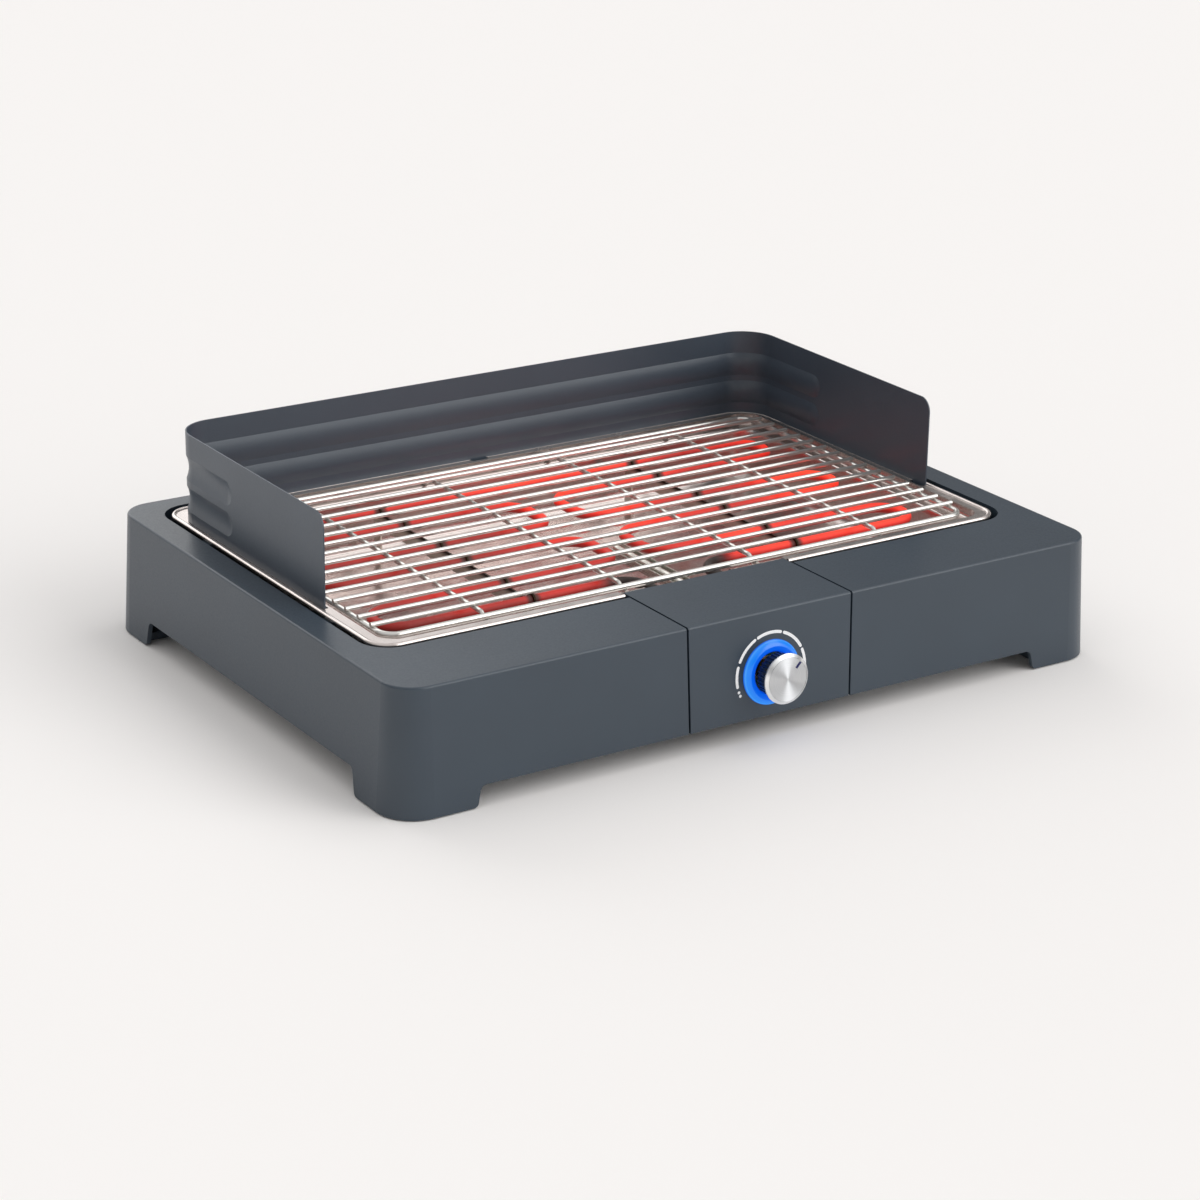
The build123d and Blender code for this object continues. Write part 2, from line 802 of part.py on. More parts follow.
# Control unit: element flange, bushes and terminals
flange_top = unit_ceiling - flange_lip_gap
flange_half_width = element_leg_x + flange_margin
flange_screw_x = flange_half_width - flange_screw_margin
flange_screw_z = flange_top - flange_height + flange_screw_margin


def along_y(diameter, front, back):
    """Cylinder on an axis along Y."""
    return Pos(0, back, 0) * Rot(90, 0, 0) * post(diameter, 0, back - front)


def flange_openings():
    """Holes through the back wall and the flange for the legs, the sensor and the screws."""
    front = unit_back - unit_wall - overrun
    back = flange_back + overrun
    holes = []
    for side in (-1, 1):
        leg_hole = along_y(bush_diameter + 2 * bush_fit, front, back)
        holes.append(Pos(side * element_leg_x, 0, element_z) * leg_hole)
        screw_hole = along_y(pilot_diameter, front, back)
        holes.append(Pos(side * flange_screw_x, 0, flange_screw_z) * screw_hole)
    holes.append(Pos(0, 0, sensor_z) * along_y(sensor_diameter + 2 * sensor_fit, front, back))
    return holes


def element_flange():
    plate = span_box(
        -flange_half_width, flange_half_width, unit_back, flange_back, flange_top - flange_height, flange_top
    )
    for opening in flange_openings():
        plate -= opening
    return plate


def flange_screws():
    turn = Rot(90, 0, 0)
    length = flange_sheet + unit_wall + screw_head_height
    return group(
        Pos(side * flange_screw_x, flange_back, flange_screw_z) * turn * screw(length) for side in (-1, 1)
    )


def on_legs(solid):
    return group(Pos(side * element_leg_x, 0, element_z) * solid for side in (-1, 1))


def leg_bushes():
    middle = (unit_back - unit_wall + flange_back) / 2
    bush = along_y(bush_diameter, middle - bush_length / 2, middle + bush_length / 2)
    bush -= along_y(element_diameter + 2 * bush_fit, middle - bush_length, middle + bush_length)
    return on_legs(bush)


def terminal_insulators():
    return on_legs(along_y(insulator_diameter, element_end_y - insulator_length, element_end_y))


def terminal_pins():
    back = element_end_y - insulator_length
    return on_legs(along_y(pin_diameter, back - pin_length, back))


# Control unit: temperature sensor
def sensor_tube():
    front = unit_back - sensor_inside
    straight = along_y(sensor_diameter, front, sensor_tip_y - sensor_diameter / 2)
    tip = Pos(0, sensor_tip_y - sensor_diameter / 2, 0) * Sphere(sensor_diameter / 2)
    return Pos(0, 0, sensor_z) * (straight + tip)


def sensor_guard():
    back = sensor_tip_y + guard_overhang
    guard = span_box(
        -guard_width / 2, guard_width / 2, flange_back, back, guard_bottom, guard_bottom + guard_height
    )
    inner = guard_width / 2 - guard_sheet
    guard -= span_box(-inner, inner, flange_back - overrun, back + overrun, guard_floor, element_z + overrun)
    return guard


def capillary_tube():
    start = unit_back - sensor_inside
    entry = knob_plane.from_local_coords((0, thermostat_height / 4, -thermostat_back - rest_gap))
    points = [
        (0, start, sensor_z), (0, start - capillary_run, sensor_z),
        (0, entry.Y + capillary_run, entry.Z), (0, entry.Y, entry.Z),
    ]
    return rod(bent_path(points, capillary_bend), capillary_diameter)


# Control unit: thermostat
def thermostat():
    outline = RectangleRounded(thermostat_width, thermostat_height, thermostat_corner_radius)
    body = Pos(0, 0, -thermostat_back) * extrude(outline, thermostat_depth)
    body += post(bushing_diameter, -bracket_back, bushing_reach - bracket_back)
    body -= post(shaft_diameter + 2 * shaft_fit, -bracket_back - shaft_inside + bushing_reach, overrun)
    return knob_plane * body


def thermostat_bracket():
    length = 2 * (bracket_screw_x + bracket_end)
    plate = Pos(0, 0, -bracket_back) * extrude(Rectangle(length, bracket_width), bracket_sheet)
    plate -= post(bushing_diameter + 2 * bush_fit, -thermostat_back, overrun)
    for x, y in bracket_boss_places():
        plate -= Pos(x, y) * post(pilot_diameter, -thermostat_back, overrun)
    return knob_plane * plate


def bracket_screws():
    return group(
        knob_plane * Pos(x, y, -bracket_back) * screw(bracket_screw_length) for x, y in bracket_boss_places()
    )


def thermostat_nut():
    outline = RegularPolygon(nut_flats / 2, nut_sides, major_radius=False)
    outline -= Circle(bushing_diameter / 2 + bush_fit)
    return knob_plane * Pos(0, 0, -bracket_depth) * extrude(outline, nut_height)


# Control unit: light ring and board
def ring_pegs(diameter, low, high):
    radius = (ring_stem_diameter + ring_bore_diameter) / 4
    return [Pos(side * radius, 0) * post(diameter, low, high) for side in (-1, 1)]


def light_ring():
    outer = ring_diameter / 2
    stem = ring_stem_diameter / 2
    bore = ring_bore_diameter / 2
    ridge = ring_ridge_diameter / 2
    outline = Polyline(
        (outer, ring_edge_height), (outer, 0), (stem, 0), (stem, -ring_stem_length),
        (bore, -ring_stem_length), (bore, ring_inner_height), (ridge, ring_height),
    )
    middle = ((ridge + outer) / 2, (ring_height + ring_edge_height) / 2 + ring_swell)
    dome = ThreePointArc((ridge, ring_height), middle, (outer, ring_edge_height))
    ring = revolve(Plane.XZ * make_face(outline + dome), Axis.Z)
    for peg in ring_pegs(ring_peg_diameter, -ring_stem_length - ring_peg_length, -ring_stem_length):
        ring += peg
    return knob_plane * ring


def light_board():
    outline = Circle(board_diameter / 2) - Circle(board_bore_diameter / 2)
    back = -ring_stem_length - board_thickness
    board = Pos(0, 0, back) * extrude(outline, board_thickness)
    for hole in ring_pegs(ring_peg_diameter + 2 * ring_fit, back, -ring_stem_length):
        board -= hole
    lamp = Pos(0, 0, -ring_stem_length + lamp_height / 2) * Box(lamp_length, lamp_width, lamp_height)
    for number in range(lamp_count):
        turn = Rot(0, 0, (number + 1 / 2) * 360 / lamp_count)
        board += turn * Pos(lamp_circle_radius, 0) * lamp
    return knob_plane * board


# Control unit: wiring
block_x = -element_leg_x - block_width / 2 + block_overlap
block_front = unit_middle_y
gland_x = unit_width / 2 - unit_wall - gland_side_gap - gland_flange_diameter / 2


def terminal_block():
    block = span_box(
        block_x - block_width / 2, block_x + block_width / 2, block_front, block_front + block_depth,
        unit_floor_top, unit_floor_top + block_height,
    )
    top = unit_floor_top + block_height
    for number in range(block_well_count):
        x = block_x + (number - (block_well_count - 1) / 2) * block_width / block_well_count
        well = post(block_well_diameter, top - block_well_depth, top)
        block -= Pos(x, block_front + block_depth / 2) * well
    return block


def lead_wires():
    pin_y = element_end_y - insulator_length - pin_length
    drop_y = block_front - wire_block_run
    block_z = unit_floor_top + block_height / 2
    side = thermostat_width / 2
    left = -element_leg_x
    to_block = [(left, pin_y, element_z), (left, drop_y, element_z), (left, drop_y, block_z)]
    to_block.append((left, block_front, block_z))
    right = side + wire_side_run
    to_thermostat = [(element_leg_x, pin_y, element_z), (element_leg_x, drop_y, element_z)]
    to_thermostat.extend([(right, drop_y, knob_height), (side, drop_y, knob_height)])
    link_y = drop_y - wire_row_pitch
    link_x = block_x - wire_row_pitch
    link_z = block_z + wire_row_pitch - wire_diameter / 2
    link = [(-side, link_y, link_z), (link_x, link_y, link_z), (link_x, block_front, link_z)]
    routes = (to_block, to_thermostat, link)
    return group(rod(bent_path(route, wire_bend), wire_diameter) for route in routes)


def cord_gland():
    bore = gland_bore_diameter / 2
    neck = gland_neck_diameter / 2
    flange = gland_flange_diameter / 2
    low = unit_floor_z - gland_flange_height
    high = unit_floor_top + gland_flange_height
    bush = turned(
        (bore, low), (flange, low), (flange, unit_floor_z), (neck, unit_floor_z),
        (neck, unit_floor_top), (flange, unit_floor_top), (flange, high), (bore, high),
    )
    return Pos(gland_x, unit_middle_y) * bush


# Knob
def spindle(grow):
    """Spindle with a flat along the stretch that sits in the knob."""
    solid = post(shaft_diameter + 2 * grow, bushing_reach - bracket_back - shaft_inside, shaft_tip + grow)
    flat = shaft_diameter / 2 - shaft_flat + grow
    return solid - span_box(
        -shaft_diameter, shaft_diameter, flat, shaft_diameter, knob_hub_lift, shaft_tip + overrun
    )


def thermostat_shaft():
    return knob_plane * spindle(0)


def knob_body():
    top = knob_reach - knob_cap_thickness
    outline = Circle(knob_body_diameter / 2)
    outline -= PolarLocations(knob_body_diameter / 2, knob_flute_count) * Circle(knob_flute_diameter / 2)
    body = Pos(0, 0, knob_body_lift) * extrude(outline, top - knob_body_lift)
    body += post(knob_hub_diameter, knob_hub_lift, knob_body_lift)
    return knob_plane * (body - spindle(shaft_fit))


def pointer_form():
    length = pointer_end - pointer_start
    bar = Box(pointer_width, length, pointer_depth, align=(Align.CENTER, Align.MIN, Align.MAX))
    return Rot(0, 0, -pointer_angle) * Pos(0, pointer_start, knob_reach) * bar


def knob_cap():
    low = knob_reach - knob_cap_thickness
    radius = knob_cap_diameter / 2
    rim = radius - knob_bevel_width
    face = rim - knob_groove_width
    sunk = knob_reach - knob_groove_depth
    cap = turned(
        (0, low), (radius, low), (radius, knob_reach - knob_bevel_height), (rim, knob_reach),
        (rim, sunk), (face, sunk), (face, knob_reach), (0, knob_reach),
    )
    return knob_plane * (cap - pointer_form())


def knob_pointer():
    return knob_plane * pointer_form()


builders = [
    housing_shell, base_plate, base_screws, foot_pads, drip_tray,
    control_cover, control_base, control_screws, element_flange, flange_screws, leg_bushes,
    heating_element, terminal_insulators, terminal_pins, element_supports,
    sensor_guard, sensor_tube, capillary_tube,
    thermostat, thermostat_bracket, bracket_screws, thermostat_nut, light_ring, light_board,
    terminal_block, lead_wires, cord_gland,
    knob_body, knob_cap, knob_pointer, thermostat_shaft,
    grate_frame, grate_bars, grate_cross_wires, wind_shield,
]
nodes = {builder.__name__: builder() for builder in builders}

# The origin lies on the floor under the middle of the whole grill, knob included
extents = [node.bounding_box() for node in nodes.values()]
front_end = min(extent.min.Y for extent in extents)
back_end = max(extent.max.Y for extent in extents)
home = Pos(0, -(front_end + back_end) / 2, 0)

os.makedirs("parts", exist_ok=True)
for name, node in nodes.items():
    export_step(home * node, os.path.join("parts", name + ".step"))
print("middle shifted by", -(front_end + back_end) / 2)
print("knob axis through", (home * knob_plane.location).position)
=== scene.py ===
import json
import math

import bmesh
import bpy
from mathutils import Matrix, Vector


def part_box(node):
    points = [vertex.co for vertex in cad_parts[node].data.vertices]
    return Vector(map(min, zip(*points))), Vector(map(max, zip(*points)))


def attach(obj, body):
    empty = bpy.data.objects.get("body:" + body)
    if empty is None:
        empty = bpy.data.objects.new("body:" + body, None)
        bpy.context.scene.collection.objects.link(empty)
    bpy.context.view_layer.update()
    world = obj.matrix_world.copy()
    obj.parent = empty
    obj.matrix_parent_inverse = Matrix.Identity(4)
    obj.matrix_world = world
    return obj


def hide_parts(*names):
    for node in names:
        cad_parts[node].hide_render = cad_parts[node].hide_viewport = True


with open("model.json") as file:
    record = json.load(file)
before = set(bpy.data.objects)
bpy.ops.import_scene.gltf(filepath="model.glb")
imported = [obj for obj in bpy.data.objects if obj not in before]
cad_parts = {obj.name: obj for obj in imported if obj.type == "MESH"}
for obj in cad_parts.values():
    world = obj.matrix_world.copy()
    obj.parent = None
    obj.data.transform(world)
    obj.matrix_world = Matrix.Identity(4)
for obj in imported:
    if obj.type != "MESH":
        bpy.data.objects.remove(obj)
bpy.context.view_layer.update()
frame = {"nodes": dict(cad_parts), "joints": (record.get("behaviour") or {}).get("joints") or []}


# Foot pads
# Four round pads punched from black rubber sheet and pressed into pockets under the feet.
# The sheet keeps the fine fabric print of the press it was cured in. The cord gland is the same rubber.
def srgb(code):
    """Linear colour of an sRGB hex code."""
    channels = [int(code[place:place + 2], 16) / 255 for place in (1, 3, 5)]
    linear = [c / 12.92 if c <= 0.04045 else ((c + 0.055) / 1.055) ** 2.4 for c in channels]
    return (*linear, 1.0)


def add(material, kind, inputs, **settings):
    """Adds a node to a material. An input takes a number, a colour or another node's output."""
    node = material.node_tree.nodes.new("ShaderNode" + kind)
    for name, value in settings.items():
        setattr(node, name, value)
    for name, value in inputs.items():
        if isinstance(value, bpy.types.NodeSocket):
            material.node_tree.links.new(value, node.inputs[name])
        else:
            node.inputs[name].default_value = value
    return node


def new_material(name):
    """A material with no nodes yet."""
    material = bpy.data.materials.new(name)
    material.use_nodes = True
    material.node_tree.nodes.clear()
    return material


def per_mm(size):
    """Scale of a pattern whose features are that many millimetres wide."""
    return 1000.0 / size


def dress(material, *nodes):
    """Puts a material on CAD nodes."""
    for name in nodes:
        for slot in frame["nodes"][name].material_slots:
            slot.material = material


# Sockets of a node that mixes two colours
mix_share = 0
mix_first = 6
mix_second = 7
mix_result = 2

# Cured rubber: nearly black, dull, with a print that is drawn at 1.2 mm so that it shows
pad_rubber = new_material("cured_black_rubber")
place = add(pad_rubber, "TexCoord", {}).outputs["Object"]
print_grid = add(pad_rubber, "TexVoronoi", {"Vector": place, "Scale": per_mm(1.2)})
dust = add(pad_rubber, "TexNoise", {"Vector": place, "Scale": per_mm(9), "Detail": 4.0})
tone = add(pad_rubber, "Mix", {
    mix_share: dust.outputs["Fac"], mix_first: srgb("#17181a"), mix_second: srgb("#26282a"),
}, data_type="RGBA")
relief = add(pad_rubber, "Bump", {
    "Height": print_grid.outputs["Distance"], "Strength": 0.6, "Distance": 0.0003,
})
shader = add(pad_rubber, "BsdfPrincipled", {
    "Base Color": tone.outputs[mix_result], "Roughness": 0.82, "IOR": 1.52,
    "Normal": relief.outputs["Normal"],
})
add(pad_rubber, "OutputMaterial", {"Surface": shader.outputs["BSDF"]})
dress(pad_rubber, "foot_pads", "cord_gland")


# Housing shell and control unit cover
# Two mouldings of heat-proof plastic in anthracite, from tools with a fine spark-eroded grain.
# The cover drops into the slot in the front, so both share one colour and one grain.

# Moulded PBT: satin, a shade uneven, with a grain of 0.25 mm drawn at 1.1 mm so that it shows
housing_pbt = new_material("moulded_anthracite_pbt")
place = add(housing_pbt, "TexCoord", {}).outputs["Object"]
grain = add(housing_pbt, "TexNoise", {"Vector": place, "Scale": per_mm(1.1), "Detail": 3.0, "Roughness": 0.6})
flow = add(housing_pbt, "TexNoise", {"Vector": place, "Scale": per_mm(70), "Detail": 2.0})
tone = add(housing_pbt, "Mix", {
    mix_share: flow.outputs["Fac"], mix_first: srgb("#2d3843"), mix_second: srgb("#35424e"),
}, data_type="RGBA")
speck = add(housing_pbt, "MapRange", {
    "Value": grain.outputs["Fac"], "From Min": 0.3, "From Max": 0.7, "To Min": 0.3, "To Max": 0.42,
})
relief = add(housing_pbt, "Bump", {"Height": grain.outputs["Fac"], "Strength": 0.25, "Distance": 0.0001})
shader = add(housing_pbt, "BsdfPrincipled", {
    "Base Color": tone.outputs[mix_result], "Roughness": speck.outputs["Result"], "IOR": 1.57,
    "Normal": relief.outputs["Normal"],
})
add(housing_pbt, "OutputMaterial", {"Surface": shader.outputs["BSDF"]})
dress(housing_pbt, "housing_shell", "control_cover")


# Base plate, element flange and thermostat bracket
# Blanks of zinc-coated steel sheet: the plate closes the housing from below, the flange holds the
# element's legs at the back of the control unit, and the bracket carries the thermostat.

# Galvanised sheet: grey metal with zinc flowers about 9 mm across
zinc_sheet = new_material("galvanised_steel_sheet")
place = add(zinc_sheet, "TexCoord", {}).outputs["Object"]
flowers = add(zinc_sheet, "TexVoronoi", {"Vector": place, "Scale": per_mm(9)})
shade = add(zinc_sheet, "SeparateColor", {"Color": flowers.outputs["Color"]}).outputs["Red"]
tone = add(zinc_sheet, "Mix", {
    mix_share: shade, mix_first: srgb("#9a9ea1"), mix_second: srgb("#b7babc"),
}, data_type="RGBA")
dull = add(zinc_sheet, "MapRange", {"Value": shade, "To Min": 0.32, "To Max": 0.5})
shader = add(zinc_sheet, "BsdfPrincipled", {
    "Base Color": tone.outputs[mix_result], "Metallic": 1.0, "Roughness": dull.outputs["Result"],
})
add(zinc_sheet, "OutputMaterial", {"Surface": shader.outputs["BSDF"]})
dress(zinc_sheet, "base_plate", "element_flange", "thermostat_bracket")


# Screws
# Self-tapping pan head screws of zinc-plated steel with a cross recess. Six hold the base plate,
# four close the control unit and two hold the element flange.
screw_head_radius = 0.0028
screw_head_height = 0.0018
screw_shank_radius = 0.0014
screw_tip_radius = 0.00028
recess_width = 0.0008
recess_length = 0.0032
recess_depth = 0.0010


def pan_screws(name, seats, direction, length):
    """Equal screws in one object, with the heads' seats at the points and the shanks along the direction."""
    segments = 48
    crown_steps = 16
    crown_power = 4
    edge_height = 0.25 * screw_head_height
    seat_radius = 0.75 * screw_head_radius
    profile = [
        (screw_tip_radius, length),
        (screw_shank_radius, length - screw_shank_radius),
        (screw_shank_radius, 0.0),
        (seat_radius, 0.0),
        (screw_head_radius, 0.0),
    ]
    for step in range(1, crown_steps):
        share = 1 - step / crown_steps
        height = screw_head_height * (1 - share ** crown_power)
        profile.append((screw_head_radius * share, -max(height, edge_height)))
    mesh = bmesh.new()
    turn = direction.to_track_quat("Z", "Y").to_matrix().to_4x4()
    for seat in seats:
        rings = []
        for radius, height in profile:
            ring = []
            for segment in range(segments):
                angle = 2 * math.pi * segment / segments
                x = radius * math.cos(angle)
                y = radius * math.sin(angle)
                across, along = sorted((abs(x), abs(y)))
                sunk = height < 0 and across < recess_width / 2 and along < recess_length / 2
                point = Vector((x, y, height + (recess_depth if sunk else 0.0)))
                ring.append(mesh.verts.new(seat + turn @ point))
            rings.append(ring)
        for before, after in zip(rings, rings[1:]):
            for segment in range(segments):
                following = (segment + 1) % segments
                mesh.faces.new((before[segment], before[following], after[following], after[segment]))
        mesh.faces.new(rings[0][::-1])
        mesh.faces.new(rings[-1])
    bmesh.ops.recalc_face_normals(mesh, faces=mesh.faces)
    for face in mesh.faces:
        face.smooth = True
    data = bpy.data.meshes.new(name)
    mesh.to_mesh(data)
    mesh.free()
    screws = bpy.data.objects.new(name, data)
    bpy.context.scene.collection.objects.link(screws)
    return screws


def solid_boxes(node):
    """Lowest and highest corners of each separate solid of a node."""
    mesh = bmesh.new()
    mesh.from_mesh(frame["nodes"][node].data)
    weld_distance = 1e-6
    bmesh.ops.remove_doubles(mesh, verts=mesh.verts, dist=weld_distance)
    left = set(mesh.verts)
    boxes = []
    while left:
        front = [left.pop()]
        corners = []
        while front:
            vertex = front.pop()
            corners.append(vertex.co.copy())
            for edge in vertex.link_edges:
                other = edge.other_vert(vertex)
                if other in left:
                    left.remove(other)
                    front.append(other)
        low = Vector([min(corner[axis] for corner in corners) for axis in range(3)])
        high = Vector([max(corner[axis] for corner in corners) for axis in range(3)])
        boxes.append((low, high))
    mesh.free()
    return boxes


# Zinc plate: bright, a little blue, with faint tumbling marks of half a millimetre
plated_steel = new_material("zinc_plated_steel")
place = add(plated_steel, "TexCoord", {}).outputs["Object"]
scuffs = add(plated_steel, "TexNoise", {"Vector": place, "Scale": per_mm(0.5), "Detail": 3.0})
tone = add(plated_steel, "Mix", {
    mix_share: scuffs.outputs["Fac"], mix_first: srgb("#aeb4ba"), mix_second: srgb("#c9cdd0"),
}, data_type="RGBA")
dull = add(plated_steel, "MapRange", {"Value": scuffs.outputs["Fac"], "To Min": 0.22, "To Max": 0.42})
shader = add(plated_steel, "BsdfPrincipled", {
    "Base Color": tone.outputs[mix_result], "Metallic": 1.0, "Roughness": dull.outputs["Result"],
})
add(plated_steel, "OutputMaterial", {"Surface": shader.outputs["BSDF"]})

upward = Vector((0, 0, 1))
forward = Vector((0, -1, 0))
for node, body, direction in (
    ("base_screws", "housing", upward), ("control_screws", "control_unit", upward),
    ("flange_screws", "control_unit", forward),
):
    seats = []
    for low, high in solid_boxes(node):
        seat = (low + high) / 2
        if direction == upward:
            seat.z = low.z + screw_head_height
            length = high.z - seat.z
        else:
            seat.y = high.y - screw_head_height
            length = seat.y - low.y
        seats.append(seat)
    screws = pan_screws("cross_" + node, seats, direction, length)
    screws.data.materials.append(plated_steel)
    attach(screws, body)
    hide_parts(node)
dress(plated_steel, "bracket_screws", "terminal_pins", "thermostat_shaft")


# Drip tray
# Deep-drawn from one sheet of bright stainless steel, with a rolled rim that hangs in the housing.
# The ledge carries the grate, and the basin below catches water and fat.

# Bright annealed stainless steel: a soft mirror with drawing streaks 1.4 mm wide, slight waves 26 mm
# across and a thin film with a few dried drops. Its pink tint is a painted reflection of the red glow
tray_steel = new_material("bright_annealed_stainless")
place = add(tray_steel, "TexCoord", {}).outputs["Object"]
stretched = add(tray_steel, "Mapping", {"Vector": place, "Scale": (0.04, 1.0, 1.0)})
streaks = add(tray_steel, "TexNoise", {
    "Vector": stretched.outputs["Vector"], "Scale": per_mm(1.4), "Detail": 4.0,
})
drops = add(tray_steel, "TexVoronoi", {"Vector": place, "Scale": per_mm(34), "Randomness": 1.0})
stain = add(tray_steel, "MapRange", {
    "Value": drops.outputs["Distance"], "From Min": 0.1, "From Max": 0.2, "To Min": 0.08, "To Max": 0.0,
})
dull = add(tray_steel, "MapRange", {"Value": streaks.outputs["Fac"], "To Min": 0.14, "To Max": 0.3})
rough = add(tray_steel, "Math", {0: dull.outputs["Result"], 1: stain.outputs["Result"]}, operation="ADD")
# Painted reflection: both tones are tinted pink like the element's glow
tone = add(tray_steel, "Mix", {
    mix_share: streaks.outputs["Fac"], mix_first: srgb("#cdc3be"), mix_second: srgb("#ded5d1"),
}, data_type="RGBA")
waves = add(tray_steel, "TexNoise", {"Vector": place, "Scale": per_mm(26), "Detail": 1.0})
wavy = add(tray_steel, "Bump", {"Height": waves.outputs["Fac"], "Strength": 1.0, "Distance": 0.0008})
relief = add(tray_steel, "Bump", {
    "Height": streaks.outputs["Fac"], "Strength": 0.05, "Distance": 0.0001, "Normal": wavy.outputs["Normal"],
})
shader = add(tray_steel, "BsdfPrincipled", {
    "Base Color": tone.outputs[mix_result], "Metallic": 0.9, "Roughness": rough.outputs["Value"],
    "Normal": relief.outputs["Normal"],
})
add(tray_steel, "OutputMaterial", {"Surface": shader.outputs["BSDF"]})
dress(tray_steel, "drip_tray")


# Control unit base
# The black inner moulding that closes the cover from below and behind. Four screws hold it.

# Moulded nylon: dark, satin, with a coarse grain drawn at 1 mm
case_nylon = new_material("moulded_black_nylon")
place = add(case_nylon, "TexCoord", {}).outputs["Object"]
grain = add(case_nylon, "TexNoise", {"Vector": place, "Scale": per_mm(1), "Detail": 2.0})
tone = add(case_nylon, "Mix", {
    mix_share: grain.outputs["Fac"], mix_first: srgb("#2b2e31"), mix_second: srgb("#35393c"),
}, data_type="RGBA")
relief = add(case_nylon, "Bump", {"Height": grain.outputs["Fac"], "Strength": 0.3, "Distance": 0.0001})
shader = add(case_nylon, "BsdfPrincipled", {
    "Base Color": tone.outputs[mix_result], "Roughness": 0.55, "IOR": 1.53,
    "Normal": relief.outputs["Normal"],
})
add(case_nylon, "OutputMaterial", {"Surface": shader.outputs["BSDF"]})
dress(case_nylon, "control_base")


# Heating element
# One steel-sheathed tube bent into six rows on each side, with cold ends where it enters the unit.
# It is switched on, so the rows glow, less so at the strips that hold them; the undersides are painted dimmer
# as shade.

# Oxidised nickel steel: dark brown-black and dull where cold, glowing red to orange where hot
element_sheath = new_material("oxidised_glowing_sheath")
place = add(element_sheath, "TexCoord", {}).outputs["Object"]
axes = add(element_sheath, "SeparateXYZ", {"Vector": place})
sideways = add(element_sheath, "Math", {0: axes.outputs["X"]}, operation="ABSOLUTE").outputs["Value"]

# The front row starts to glow beyond its legs, and the rows behind it glow all along
leg_end = 0.034
glow_start = 0.052
behind_legs = -0.056
along_row = add(element_sheath, "MapRange", {
    "Value": sideways, "From Min": leg_end, "From Max": glow_start,
}, interpolation_type="SMOOTHSTEP")
past_front_row = add(element_sheath, "Math", {0: axes.outputs["Y"], 1: behind_legs}, operation="GREATER_THAN")
hot_row = add(element_sheath, "Math", {
    0: along_row.outputs["Result"], 1: past_front_row.outputs["Value"],
}, operation="MAXIMUM")

# Each strip draws heat from the tube for a few millimetres on both sides
strip_thickness = 0.0012
strip_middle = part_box("element_supports")[1].x - strip_thickness / 2
coolest_within = 0.0015
full_heat_beyond = 0.006
off_strip = add(element_sheath, "Math", {0: sideways, 1: strip_middle}, operation="SUBTRACT")
off_strip = add(element_sheath, "Math", {0: off_strip.outputs["Value"]}, operation="ABSOLUTE")
clear_of_strip = add(element_sheath, "MapRange", {
    "Value": off_strip.outputs["Value"], "From Min": coolest_within, "From Max": full_heat_beyond,
    "To Min": 0.25, "To Max": 1.0,
}, interpolation_type="SMOOTHSTEP")

# The glow drifts along the tube, is weaker at the left and the front, and is painted dimmer below as shade
drift = add(element_sheath, "TexNoise", {"Vector": place, "Scale": per_mm(90), "Detail": 1.0})
drift = add(element_sheath, "MapRange", {
    "Value": drift.outputs["Fac"], "From Min": 0.3, "From Max": 0.7, "To Min": 0.66, "To Max": 1.0,
})
rear_share = 0.45
coolest_side = -0.2
hottest_side = 0.06
rearward = add(element_sheath, "Math", {0: axes.outputs["Y"], 1: rear_share}, operation="MULTIPLY")
hot_side = add(element_sheath, "Math", {0: axes.outputs["X"], 1: rearward.outputs["Value"]}, operation="ADD")
warming_up = add(element_sheath, "MapRange", {
    "Value": hot_side.outputs["Value"], "From Min": coolest_side, "From Max": hottest_side,
    "To Min": 0.64, "To Max": 1.0,
})
# Painted shade: the glow is halved on surfaces that face down, as if lit from above
outside = add(element_sheath, "NewGeometry", {}).outputs["Normal"]
facing = add(element_sheath, "SeparateXYZ", {"Vector": outside})
painted_underside_shade = add(element_sheath, "MapRange", {
    "Value": facing.outputs["Z"], "From Min": -0.4, "From Max": 0.8, "To Min": 0.5, "To Max": 1.0,
})
heat = hot_row.outputs["Value"]
for part in (clear_of_strip, drift, warming_up, painted_underside_shade):
    heat = add(element_sheath, "Math", {0: heat, 1: part.outputs["Result"]}, operation="MULTIPLY")
    heat = heat.outputs["Value"]
glow = add(element_sheath, "ValToRGB", {"Fac": heat})
glow.color_ramp.elements[0].color = srgb("#000000")
glow.color_ramp.elements[1].color = srgb("#f23a20")
for position, code in ((0.25, "#3a0604"), (0.5, "#780f0a"), (0.72, "#b81b11"), (0.88, "#de2c18")):
    glow.color_ramp.elements.new(position).color = srgb(code)
scale_skin = add(element_sheath, "TexNoise", {"Vector": place, "Scale": per_mm(2.2), "Detail": 4.0})
tone = add(element_sheath, "Mix", {
    mix_share: scale_skin.outputs["Fac"], mix_first: srgb("#2a2422"), mix_second: srgb("#463a36"),
}, data_type="RGBA")
shader = add(element_sheath, "BsdfPrincipled", {
    "Base Color": tone.outputs[mix_result], "Metallic": 0.3, "Roughness": 0.5,
    "Emission Color": glow.outputs["Color"], "Emission Strength": 1.45,
})
add(element_sheath, "OutputMaterial", {"Surface": shader.outputs["BSDF"]})
dress(element_sheath, "heating_element")


# Element supports, leg bushes, sensor and its guard
# Strips, small turned parts and a folded channel of stainless steel round the element. Its heat has
# tinted what touches it. The strips have a notch for each row of the tube.

